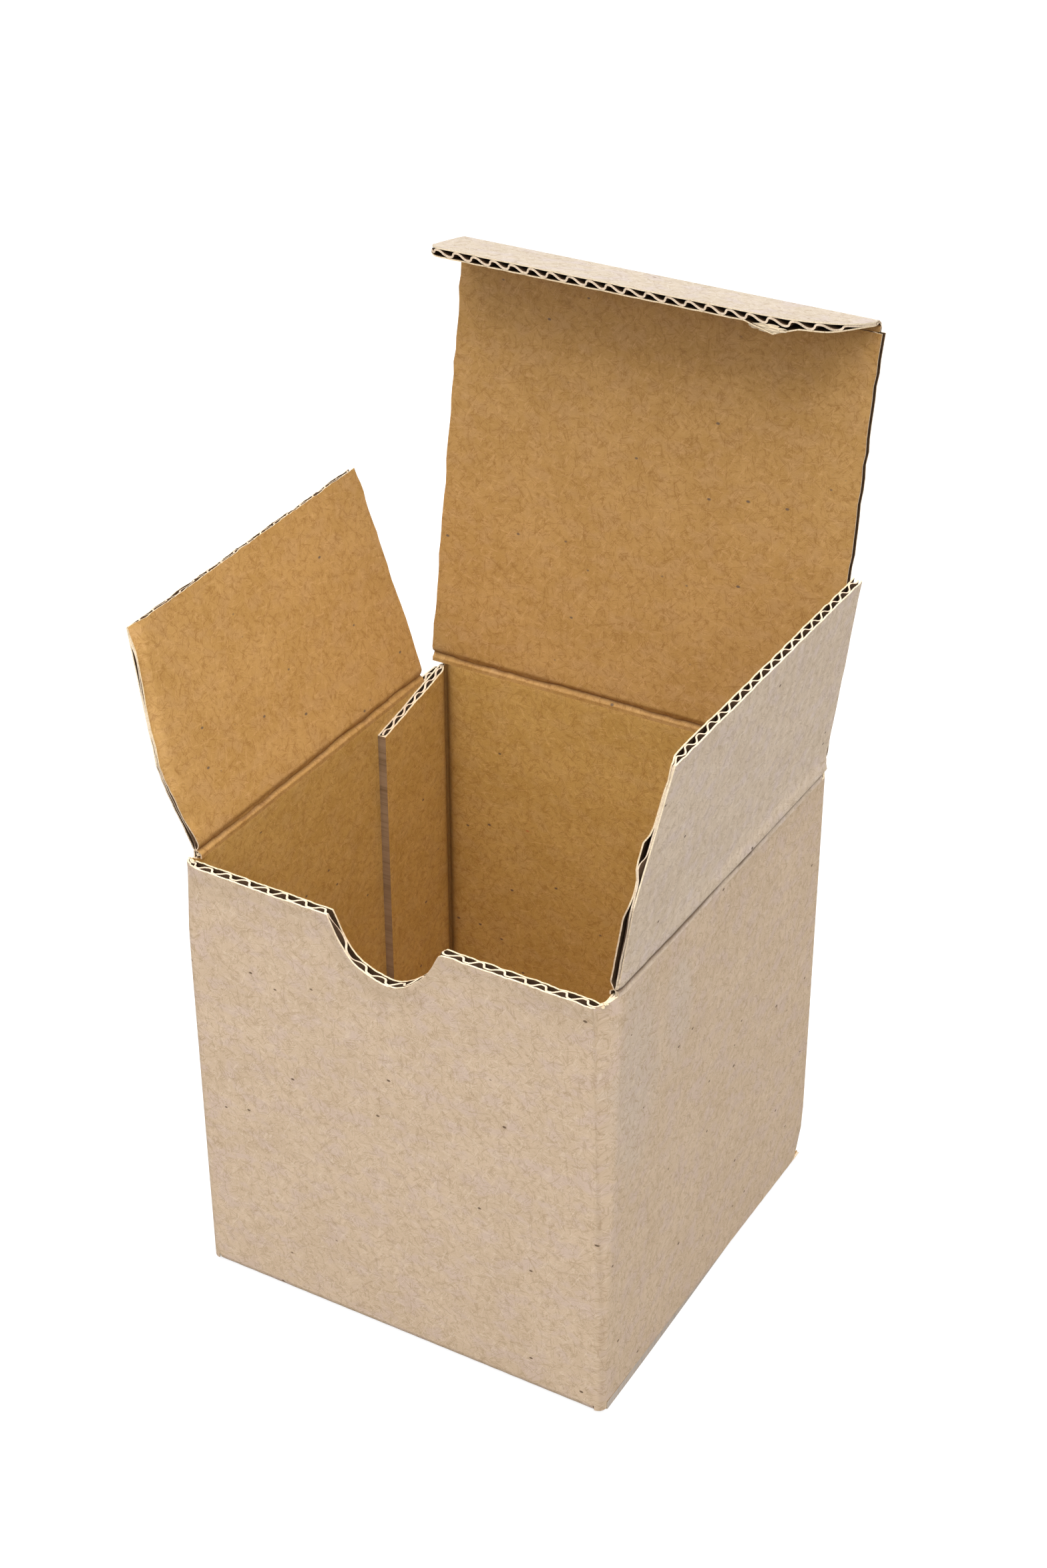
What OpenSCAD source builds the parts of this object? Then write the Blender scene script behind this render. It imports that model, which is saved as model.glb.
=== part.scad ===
// A small tuck-top carton folded from one sheet of fine-flute corrugated board.
// The front is toward -Y, the lid hinges on the back wall, and the dust flaps on the side walls.

/* [Carton] */
// Outer width, left to right
body_w = 76; // [60:0.5:140]
// Outer depth, front to back
body_d = 76; // [60:0.5:140]
// Height of the front panel's cut rim
rim_h = 80; // [50:0.5:160]
// How far the dust flaps' creases lie above the front rim
flap_crease_rise = 1; // [0.9:0.1:2]
// Outer radius of the four upright folds
fold_r = 1.7; // [1.7:0.1:3]
// Width of the thumb notch in the front rim
notch_w = 19.6; // [10:0.2:30]
// Depth of the thumb notch
notch_depth = 9.2; // [4:0.2:14]
// Radius of the rounded corner between the notch and the rim on the right
notch_corner_r = 1.6; // [0.5:0.1:3]

/* [Board] */
// Thickness of the corrugated board
board_t = 1.6; // [1.4:0.05:1.8]
// Thickness of each of the two flat liners
liner_t = 0.28; // [0.2:0.02:0.34]
// Thickness of the wavy medium between the liners
medium_t = 0.26; // [0.16:0.02:0.3]
// Distance from one flute crest to the next
flute_pitch = 3.5; // [2.8:0.1:4.5]

/* [Lid] */
// How far each side of the lid lies in from the carton's side, to close between the standing dust flaps
lid_inset = 1.6; // [1.6:0.1:8]
// Lean of the open lid, back from upright
lid_lean = 10; // [0:0.5:60]
// Room between the closed lid's underside and the folded dust flaps
lid_room = 0.3; // [0.1:0.1:1]
// Room between the closed tuck flap and the inside of the front panel
tuck_room = 1.2; // [1.2:0.1:3]
// Reach of the tuck flap from its crease to its free edge
tuck_reach = 12.5; // [6:0.5:12.5]
// Radius of the tuck flap's left corner
tuck_left_r = 2; // [1:0.5:6]
// Width of the tuck flap's long rounded right corner
tuck_right_w = 15; // [2:0.5:24]

/* [Dust flaps] */
// Reach of each dust flap from its crease to its free edge
flap_reach = 36; // [20:0.5:36.6]
// Outward lean of the left dust flap from upright
left_lean = 24; // [0:1:60]
// Outward lean of the right dust flap from upright
right_lean = 7.2; // [7:0.1:60]
// Room between each dust flap's front side and the closed tuck flap
flap_front_room = 0.3; // [0.3:0.1:4]
// Height on the flap at which its front side starts to taper
flap_taper_start = 15; // [5:1:20]
// How far the front side tapers in by the free edge
flap_taper = 7.2; // [0:0.2:14]
// Room between the right dust flap and the inside of the back wall
right_back_room = 0.8; // [0.5:0.1:8]
// Room between the left dust flap's root and the inside of the back wall
left_back_room = 5.6; // [0.5:0.1:10]
// How far the left dust flap's back side spreads by the free edge
left_back_spread = 3; // [0:0.2:4]

/* [Glue tab] */
// Width of the glue tab inside the left wall
tab_w = 20; // [10:0.5:30]
// Slope of the tab's upper and lower ends
tab_slope = 12; // [10:1:30]
// Drop of the tab's upper end below the left crease's axis, at the back wall
tab_drop = 0.1; // [0.1:0.1:4]

/* [Bottom] */
// How far each side of the bottom panel lies in from the carton's side
bottom_inset = 0.4; // [0.2:0.1:1]
// Room between layers of board that lie on each other
layer_room = 0.2; // [0.1:0.1:0.5]
// Reach of the bottom tuck up the inside of the back wall
bottom_tuck_reach = 13; // [6:0.5:20]
// Room between the tips of the two bottom dust flaps
bottom_tip_gap = 3; // [1:0.5:20]

/* [Creases] */
// Board thickness left in a crease where the flutes are crushed
crease_t = 1; // [0.8:0.05:1.1]
// Room between a crease's round root and the cut end of the panel it folds on
crease_room = 0.15; // [0.1:0.01:0.2]
// Reach of the crushed band beside a crease
crush_reach = 2.2; // [2:0.1:4]

/* [Detail] */
// Straight steps along one flute gap
wave_steps = 4; // [4:1:8]
// Straight steps round one upright fold
fold_steps = 4; // [3:1:8]

/* [Hidden] */

outside_colour = "#cbb08e";
inside_colour = "#b08a52";

half_w = body_w / 2;
half_d = body_d / 2;
half_t = board_t / 2;
lid_w = body_w - 2 * lid_inset;
// Distance from a hinge axis, at the middle of the board, to the cut end of the panel below it
crease_stand_off = crease_t / 2 + crease_room;
// Height of the dust flaps' hinge axes, and of the lid's axis a folded flap and some room higher
flap_axis_z = rim_h + flap_crease_rise;
lid_axis_z = flap_axis_z + board_t + lid_room;
// The tuck flap hangs this far in front of the lid's axis when the lid is shut
lid_reach = body_d - 2 * board_t - tuck_room;
// The crushed board beside a crease widens to the full board between these distances from its axis
taper_from = 0.8;
taper_to = 1.4;

// Medium wave: its centre line swings by flute_amp, and its crests sink a little into the liners
bond = 0.03;
flute_amp = half_t - liner_t - medium_t / 2 + bond;
// Part of a pitch, in degrees, that each crest stays bonded on either side of its top
bond_angle = acos((half_t - liner_t - medium_t / 2) / flute_amp);
// A little more than a surface, for a cut that has to pass through it
eps = 0.01;

// One gap between the medium and a liner, as [along the board, across the board] points.
// The gap opens toward the liner at side = 1 or -1, and its middle lies at s.
function gap_loop(s, side) = [
    for (i = [0 : wave_steps])
        let (a = bond_angle + (360 - 2 * bond_angle) * i / wave_steps)
        [
            s + (a / 360 - 0.5) * flute_pitch,
            side * (i == 0 || i == wave_steps ? half_t - liner_t : flute_amp * cos(a) + medium_t / 2)
        ]
];

// All the gaps of a straight stretch of board of length len, centred on 0
function stretch_gaps(len) =
    let (n = floor(2 * len / flute_pitch - 1))
    [
        for (k = [0 : n - 1])
            gap_loop((k - (n - 1) / 2) * flute_pitch / 2, k % 2 == 0 ? 1 : -1)
    ];

// A loop turned by angle a and moved to p
function placed(loop, p, a) = [
    for (q = loop) [p[0] + q[0] * cos(a) - q[1] * sin(a), p[1] + q[0] * sin(a) + q[1] * cos(a)]
];

function placed_gaps(len, p, a) = [for (g = stretch_gaps(len)) placed(g, p, a)];

// Points of an arc
function arc(c, r, from, to, steps) = [
    for (i = [0 : steps]) let (a = from + (to - from) * i / steps) [c[0] + r * cos(a), c[1] + r * sin(a)]
];

// A face whose first loop is the outline and whose other loops are holes
module face_with_holes(loops) {
    points = [for (l = loops) each l];
    starts = [for (i = 0, at = 0; i < len(loops); at = at + len(loops[i]), i = i + 1) at];
    paths = [for (i = [0 : len(loops) - 1]) [for (j = [0 : len(loops[i]) - 1]) starts[i] + j]];
    polygon(points, paths);
}

// Cross-section of a flat piece of board, long enough to be trimmed to width w
module board_section(w) {
    long = w + 2 * flute_pitch;
    face_with_holes(concat(
        [[[-long / 2, -half_t], [long / 2, -half_t], [long / 2, half_t], [-long / 2, half_t]]],
        stretch_gaps(long)
    ));
}

// A flat panel of board: its flutes run along +Y from y0 to y1, its outer face is toward +Z,
// and the children give its outline in X and Y
module board_panel(w, y0, y1) {
    intersection() {
        translate([0, y1, 0])
            rotate([90, 0, 0])
                linear_extrude(y1 - y0)
                    board_section(w);
        translate([0, 0, -board_t])
            linear_extrude(2 * board_t)
                children();
    }
}

// The crushed root of a hinged panel, between x0 and x1: a round bead on the axis and a band
// that widens to the full board. The axis runs along X at the origin, the panel goes toward +Y.
module crease_root(x0, x1) {
    n = crease_t / 2;
    translate([x0, 0, 0])
        rotate([90, 0, 90])
            linear_extrude(x1 - x0)
                union() {
                    circle(r = n, $fn = 32);
                    polygon([
                        [0, -n], [taper_from, -n], [taper_to, -half_t], [crush_reach, -half_t],
                        [crush_reach, half_t], [taper_to, half_t], [taper_from, n], [0, n]
                    ]);
                }
}

// Section of the four walls and the glue tab, one strip of board folded at four upright creases
module wall_ring_section() {
    ri = fold_r - board_t;
    left = -half_w;
    tab_x = left + board_t;
    back_fold = [tab_x + fold_r, half_d - fold_r];
    front_left = [left + fold_r, -half_d + fold_r];
    front_right = [half_w - fold_r, -half_d + fold_r];
    back_right = [half_w - fold_r, half_d - fold_r];
    tab_end = half_d - board_t - tab_w;
    raw_end = half_d - layer_room;
    outline = concat(
        [[left, raw_end]],
        arc(front_left, fold_r, 180, 270, fold_steps),
        arc(front_right, fold_r, 270, 360, fold_steps),
        arc(back_right, fold_r, 0, 90, fold_steps),
        arc(back_fold, fold_r, 90, 180, fold_steps),
        [[tab_x, raw_end]]
    );
    inside = concat(
        [[tab_x, tab_end], [tab_x + board_t, tab_end]],
        arc(back_fold, ri, 180, 90, fold_steps),
        arc(back_right, ri, 90, 0, fold_steps),
        arc(front_right, ri, 360, 270, fold_steps),
        arc(front_left, ri, 270, 180, fold_steps)
    );
    flat_w = body_w - 2 * fold_r;
    flat_d = body_d - 2 * fold_r;
    tab_flat = back_fold[1] - tab_end;
    face_with_holes(concat(
        [outline, inside],
        placed_gaps(flat_w, [0, -half_d + half_t], 180),
        placed_gaps(flat_w - board_t, [half_t, half_d - half_t], 0),
        placed_gaps(flat_d, [half_w - half_t, 0], 270),
        placed_gaps(flat_d, [left + half_t, 0], 90),
        placed_gaps(tab_flat, [tab_x + half_t, tab_end + tab_flat / 2], 90)
    ));
}

// A quarter-round fold of crushed board along X, its inner corner at the origin,
// between a panel that goes up and a panel that goes toward +Y
module bottom_fold(w) {
    translate([-w / 2, 0, 0])
        rotate([90, 0, 90])
            linear_extrude(w)
                polygon(concat([[0, 0]], arc([0, 0], board_t, 180, 270, fold_steps)));
}

// Outline of the thumb notch, with the rim's middle at the origin
module thumb_notch() {
    r = notch_w / 2;
    translate([0, r - notch_depth])
        circle(r = r, $fn = 72);
    // The rounded corner on the right
    edge_x = sqrt(pow(r, 2) - pow(r - notch_depth + notch_corner_r, 2));
    difference() {
        translate([edge_x - notch_corner_r, -notch_corner_r])
            square([2 * notch_corner_r, 2 * notch_corner_r]);
        translate([edge_x + notch_corner_r, -notch_corner_r])
            circle(r = notch_corner_r, $fn = 48);
    }
}

module walls() {
    side_fold_z = 2 * board_t + layer_room;
    tab_top = flap_axis_z - tab_drop;
    tab_low = side_fold_z + 1;
    tab_fall = tab_w * tan(tab_slope);
    big = body_w + body_d + rim_h;
    difference() {
        translate([0, 0, layer_room])
            linear_extrude(lid_axis_z - crease_stand_off - layer_room)
                wall_ring_section();
        // The front rim and its corners
        translate([-half_w - 1, -half_d - 1, rim_h])
            cube([body_w + 2, fold_r + 1, big]);
        // The tops of the side walls, up to the back wall's inner face
        translate([-half_w - 1, -half_d - 1, flap_axis_z - crease_stand_off])
            cube([board_t + 1, body_d + 2, big]);
        translate([half_w - board_t, -half_d - 1, flap_axis_z - crease_stand_off])
            cube([board_t + 1, body_d + 2, big]);
        translate([0, -half_d + board_t + 1, rim_h])
            rotate([90, 0, 0])
                linear_extrude(board_t + 2)
                    thumb_notch();
        // The front bottom edge, where the bottom panel folds in
        translate([-half_w + fold_r, -half_d - 1, -1])
            cube([body_w - 2 * fold_r, board_t + 2, board_t + 1]);
        // The side bottom edges, where the bottom dust flaps fold in
        for (x = [-half_w - 1, half_w - board_t])
            translate([x, -half_d + fold_r, -1])
                cube([board_t + 1, body_d - 2 * fold_r, side_fold_z + 1]);
        // The sloped ends of the glue tab
        translate([-half_w + board_t, 0, 0])
            rotate([90, 0, 90])
                linear_extrude(board_t + eps) {
                    polygon([
                        [half_d - board_t - tab_w - 1, tab_top - tab_fall],
                        [half_d - board_t - tab_w, tab_top - tab_fall],
                        [half_d - board_t, tab_top],
                        [half_d - board_t, big],
                        [half_d - board_t - tab_w - 1, big]
                    ]);
                    polygon([
                        [half_d - board_t - tab_w - 1, tab_low + tab_fall],
                        [half_d - board_t - tab_w, tab_low + tab_fall],
                        [half_d - board_t, tab_low],
                        [half_d - board_t, -1],
                        [half_d - board_t - tab_w - 1, -1]
                    ]);
                }
    }
}

// The bottom panel folds in from the front wall, and its tuck goes up inside the back wall
module bottom_panel() {
    fold_w = body_w - 2 * fold_r;
    panel_w = body_w - 2 * bottom_inset;
    tuck_w = body_w - 2 * board_t - 2 * layer_room;
    y0 = -half_d + board_t;
    y1 = half_d - 2 * board_t - layer_room;
    // The panel is at its full width once it is past the upright folds' lower ends
    wide_from = -half_d + fold_r + layer_room;
    translate([0, y0, board_t])
        bottom_fold(fold_w);
    translate([0, 0, half_t])
        mirror([0, 0, 1])
            board_panel(panel_w, y0, y1) {
                translate([-fold_w / 2, y0])
                    square([fold_w, y1 - y0]);
                translate([-panel_w / 2, wide_from])
                    square([panel_w, y1 - wide_from]);
            }
    translate([0, y1, board_t])
        mirror([0, 1, 0])
            bottom_fold(tuck_w);
    translate([0, y1 + half_t, board_t])
        rotate([90, 0, 0])
            mirror([0, 0, 1])
                board_panel(tuck_w, 0, bottom_tuck_reach - board_t)
                    translate([-tuck_w / 2, 0])
                        square([tuck_w, bottom_tuck_reach - board_t]);
}

// One bottom dust flap, folded in from the side wall above the bottom panel
module bottom_dust_flap() {
    z = 2 * board_t + layer_room;
    reach = half_w - board_t - bottom_tip_gap / 2;
    front_side = -half_d + board_t + layer_room;
    back_side = half_d - 2 * board_t - 2 * layer_room;
    translate([half_w - board_t, 0, z])
        rotate([0, 0, 90])
            bottom_fold(body_d - 2 * fold_r);
    translate([half_w - board_t, 0, z - half_t])
        rotate([0, 0, 90])
            mirror([0, 0, 1])
                board_panel(body_d, 0, reach)
                    translate([front_side, 0])
                        square([back_side - front_side, reach]);
}

module carton_body() {
    color(outside_colour)
        union() {
            walls();
            bottom_panel();
            bottom_dust_flap();
            mirror([1, 0, 0])
                bottom_dust_flap();
        }
}

// The lid's own frame: the hinge axis along X at the origin, the panel toward +Y, outside up
module place_lid() {
    translate([0, half_d - half_t, lid_axis_z])
        rotate([90 - lid_lean, 0, 0])
            mirror([0, 0, 1])
                children();
}

module lid() {
    end = lid_reach - crease_stand_off;
    color(inside_colour)
        place_lid()
            union() {
                crease_root(-lid_w / 2, lid_w / 2);
                board_panel(lid_w, crush_reach, end)
                    translate([-lid_w / 2, crush_reach])
                        square([lid_w, end - crush_reach]);
            }
}

// Outline of the tuck flap from its crushed root to its free edge
module tuck_outline() {
    x = lid_w / 2 - layer_room;
    polygon(concat(
        [[-x, crush_reach], [x, crush_reach]],
        [for (a = [0 : 15 : 90]) [
            x - tuck_right_w * (1 - cos(a)),
            crush_reach + (tuck_reach - crush_reach) * sin(a)
        ]],
        arc([-x + tuck_left_r, tuck_reach - tuck_left_r], tuck_left_r, 90, 180, 6)
    ));
}

module tuck_flap() {
    x = lid_w / 2 - layer_room;
    color(outside_colour)
        place_lid()
            translate([0, lid_reach, 0])
                rotate([-90, 0, 0])
                    union() {
                        crease_root(-x, x);
                        board_panel(lid_w, crush_reach, tuck_reach)
                            tuck_outline();
                    }
}

// A dust flap in its own frame: hinge axis along X at the origin, panel toward +Y, outside up.
// The front side is at -X; back_root and back_tip are where its back side starts and ends.
module dust_flap(back_root, back_tip) {
    front = -(half_d - 2 * board_t - tuck_room - flap_front_room);
    union() {
        crease_root(front, back_root);
        board_panel(body_d, crush_reach, flap_reach)
            polygon([
                [front, crush_reach],
                [back_root, crush_reach],
                [back_tip, flap_reach],
                [front + flap_taper, flap_reach],
                [front, flap_taper_start]
            ]);
    }
}

module right_dust_flap() {
    back = half_d - board_t - right_back_room;
    color(outside_colour)
        translate([half_w - half_t, 0, flap_axis_z])
            rotate([0, right_lean, 0])
                rotate([90, 0, 90])
                    dust_flap(back, back);
}

module left_dust_flap() {
    back = half_d - board_t - left_back_room;
    color(inside_colour)
        mirror([1, 0, 0])
            translate([half_w - half_t, 0, flap_axis_z])
                rotate([0, left_lean, 0])
                    rotate([90, 0, 90])
                        dust_flap(back, back + left_back_spread);
}

carton_body();
lid();
tuck_flap();
left_dust_flap();
right_dust_flap();
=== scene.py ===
"""Looks of a small tuck-top carton of fine-flute corrugated board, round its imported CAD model.

Every board is built from its three plies: an outer liner, a wavy medium and an inner liner.
Lengths are in millimetres until a mesh is made. The row frame has -Y toward the front panel.
"""

import math

import bmesh
import bpy
import numpy as np
from mathutils import Matrix, Vector


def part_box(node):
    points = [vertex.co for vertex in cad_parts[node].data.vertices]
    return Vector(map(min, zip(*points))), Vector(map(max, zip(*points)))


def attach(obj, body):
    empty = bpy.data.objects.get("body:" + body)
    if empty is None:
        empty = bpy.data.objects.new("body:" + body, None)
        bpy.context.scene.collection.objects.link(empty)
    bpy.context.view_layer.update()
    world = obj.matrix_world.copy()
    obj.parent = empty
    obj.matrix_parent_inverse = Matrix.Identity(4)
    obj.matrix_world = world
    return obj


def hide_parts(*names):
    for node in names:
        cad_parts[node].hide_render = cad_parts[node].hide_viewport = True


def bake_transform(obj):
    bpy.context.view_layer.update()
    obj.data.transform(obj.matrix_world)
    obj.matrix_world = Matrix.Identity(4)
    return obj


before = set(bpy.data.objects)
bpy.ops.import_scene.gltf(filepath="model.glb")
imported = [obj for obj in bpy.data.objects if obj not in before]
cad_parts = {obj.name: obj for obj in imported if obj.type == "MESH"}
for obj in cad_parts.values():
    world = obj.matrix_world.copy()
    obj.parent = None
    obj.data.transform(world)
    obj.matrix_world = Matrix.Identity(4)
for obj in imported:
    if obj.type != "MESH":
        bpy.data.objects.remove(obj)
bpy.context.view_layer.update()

# The carton: the CAD model's size, with tighter folds and the bottom panel's sides a little further out
MM = 0.001
HALF_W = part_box("carton_body")[1][0] / MM
HALF_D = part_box("carton_body")[1][1] / MM
RIM_Z = 80.0
FOLD_R = 1.5
TAB_W = 20.0
TAB_TOP_Z = 80.9
TAB_SLOPE = math.radians(12)
LAYER_ROOM = 0.2
BOTTOM_HALF_W = 37.9
BOTTOM_FOLD_HALF_W = 36.25
BOTTOM_TUCK_Z = 13.0
BOTTOM_TIP_X = 1.5
BOTTOM_FLAP_BACK_Y = 34.4
BOTTOM_SIDE_R = 0.4
BOTTOM_SIDE_ROOM = 0.05
BOTTOM_SIDE_DROP = 0.8
BOTTOM_DRAW_IN = 0.022

# The front rim as the photo shows it: it falls a little to the right, and this is its thumb notch
RIM_SLOPE = 0.02
NOTCH_X = (-10.4, -9.6, -8.9, -8.1, -7.2, -6.3, -5.2, -4.0, -2.7, -1.3, 0.2, 1.6, 3.0, 4.4, 5.6, 6.8,
           7.7, 8.4, 8.9, 9.3, 9.9)
NOTCH_Z = (80.2, 78.5, 76.9, 75.5, 74.2, 73.1, 72.3, 71.8, 71.3, 70.9, 70.8, 71.0, 71.6, 72.5, 73.5, 74.8,
           76.2, 77.5, 78.6, 79.4, 79.8)

# The board
BOARD_T = 1.6
HALF_T = BOARD_T / 2
PITCH = 3.5
FLAT_SHIFT = 30 * PITCH
WAVE_LEAN = 0.05
WAVE_SQUARENESS = 1.15
WAVE_STEPS = 15
WASHBOARD = 0.02
ROUGH_EDGE = 0.11

# The front right fold is pressed flat toward its top, by a plane that faces this way
PRESSED_NORMAL = (0.884, -0.467)
PRESSED_REACH = 2.4
PRESSED_SOFT = 0.12

# The hinges: each crease band reaches this far on either side of its axis
BAND = 1.3
CREASE_T = 1.05
CREASE_GROOVE = 0.2
FLAP_AXIS_Z = RIM_Z + 1.0
LID_AXIS_Z = FLAP_AXIS_Z + BOARD_T + 0.3
LID_REACH = 72.4
LID_SLANT = 0.008
LID_HALF_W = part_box("lid")[1][0] / MM + 1.2
LID_LEAN = math.radians(10)
TUCK_REACH = 12.9
TUCK_ROOT = 1.5
TUCK_LEFT_R = 2.0
TUCK_RIGHT_W = 15.5
FLAP_REACH = 36.0
LEFT_LEAN = math.radians(24)
RIGHT_LEAN = math.radians(7.2)
FLAP_FRONT_Y = -34.3
FLAP_TAPER_START = 15.0
FLAP_TAPER = 6.3
RIGHT_BACK_Y = 35.6
LEFT_BACK_Y = 31.8
LEFT_BACK_SPREAD = 3.6
LEFT_RISE = 0.03
RIGHT_RISE = 0.012


def noise(x, step, seed):
    """Smooth noise from -1 to 1 that changes over about one step."""
    table = np.random.default_rng(seed).uniform(-1, 1, 997)
    i = np.floor(x / step).astype(int)
    f = x / step - i
    f = f * f * (3 - 2 * f)
    return table[i % 997] * (1 - f) + table[(i + 1) % 997] * f


def noise_2d(x, y, step, seed):
    """Smooth noise over a surface, from -1 to 1."""
    table = np.random.default_rng(seed).uniform(-1, 1, (61, 67))
    i, j = np.floor(x / step).astype(int), np.floor(y / step).astype(int)
    f, g = x / step - i, y / step - j
    f, g = f * f * (3 - 2 * f), g * g * (3 - 2 * g)
    low = table[i % 61, j % 67] * (1 - f) + table[(i + 1) % 61, j % 67] * f
    high = table[i % 61, (j + 1) % 67] * (1 - f) + table[(i + 1) % 61, (j + 1) % 67] * f
    return low * (1 - g) + high * g


def smooth(x, low, high):
    """0 below low, 1 above high, and smooth between them."""
    t = np.clip((x - low) / (high - low), 0, 1)
    return t * t * (3 - 2 * t)


def hill(x, middle, width):
    """A bell curve of height 1."""
    return np.exp(-(((x - middle) / width) ** 2))


def grid_faces(columns, rows, first, flip):
    """Quads of a grid whose vertices run along its rows."""
    i, j = np.meshgrid(np.arange(columns - 1), np.arange(rows - 1), indexing="ij")
    a = first + i * rows + j
    quads = np.stack([a, a + rows, a + rows + 1, a + 1], -1).reshape(-1, 4)
    return quads[:, ::-1] if flip else quads


def edge_faces(ring, offset):
    """Quads that join a closed ring of vertices to the same ring further on in the list."""
    after = np.roll(ring, -1)
    return np.stack([ring, after, after + offset, ring + offset], -1)


def placed(name, data):
    """A new object in the scene, for a mesh, a lamp or a camera."""
    piece = bpy.data.objects.new(name, data)
    bpy.context.scene.collection.objects.link(piece)
    return piece


def thin_solid(name, front, back, flat_front, flat_back, fold, materials):
    """A closed sheet between two grids of points.

    The materials are for its front, its back, its two cut ends and its two cut sides. The flat
    coordinates, in millimetres, and the painted shade of its creases and folds are kept for the
    materials.
    """
    columns, rows = front.shape[:2]
    count = columns * rows
    index = np.arange(count).reshape(columns, rows)
    ring = np.concatenate([index[:-1, 0], index[-1, :-1], index[:0:-1, -1], index[0, :0:-1]])
    sides = [columns - 1, rows - 1, columns - 1, rows - 1]
    quads = [grid_faces(columns, rows, 0, False), grid_faces(columns, rows, count, True)]
    quads.append(edge_faces(ring, count)[:, ::-1])
    slots = np.repeat([0, 1, 2, 3, 2, 3], [len(quads[0]), len(quads[1])] + sides)
    faces = np.concatenate(quads)
    points = np.concatenate([front.reshape(-1, 3), back.reshape(-1, 3)]) * MM
    corners = points[faces]
    normals = np.cross(corners[:, 2] - corners[:, 0], corners[:, 3] - corners[:, 1])
    if (normals * corners.mean(1)).sum() < 0:
        faces = faces[:, ::-1]
    flat = np.concatenate([flat_front.reshape(-1, 3), flat_back.reshape(-1, 3)])
    return mesh_piece(name, points, faces, slots, flat, np.tile(fold.ravel(), 2), materials)


def mesh_piece(name, points, faces, slots, flat, fold, materials):
    """A piece made of quads, with the attributes that the materials read."""
    mesh = bpy.data.meshes.new(name)
    mesh.vertices.add(len(points))
    mesh.vertices.foreach_set("co", points.ravel())
    mesh.loops.add(faces.size)
    mesh.loops.foreach_set("vertex_index", faces.ravel().astype(np.int32))
    mesh.polygons.add(len(faces))
    mesh.polygons.foreach_set("loop_start", np.arange(0, faces.size, 4, dtype=np.int32))
    mesh.polygons.foreach_set("material_index", slots.astype(np.int32))
    mesh.polygons.foreach_set("use_smooth", np.ones(len(faces), bool))
    flat_values = mesh.attributes.new("flat", "FLOAT_VECTOR", "POINT").data
    flat_values.foreach_set("vector", flat.astype(np.float32).ravel())
    # The fold attribute holds the painted shade of the creases and folds
    fold_values = mesh.attributes.new("fold", "FLOAT", "POINT").data
    fold_values.foreach_set("value", fold.astype(np.float32))
    mesh.update(calc_edges=True)
    mesh.validate()
    mesh.set_sharp_from_angle(angle=math.radians(50))
    for material in materials:
        mesh.materials.append(material)
    return placed(name, mesh)


def nothing(a, b=0):
    return 0 * a


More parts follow.
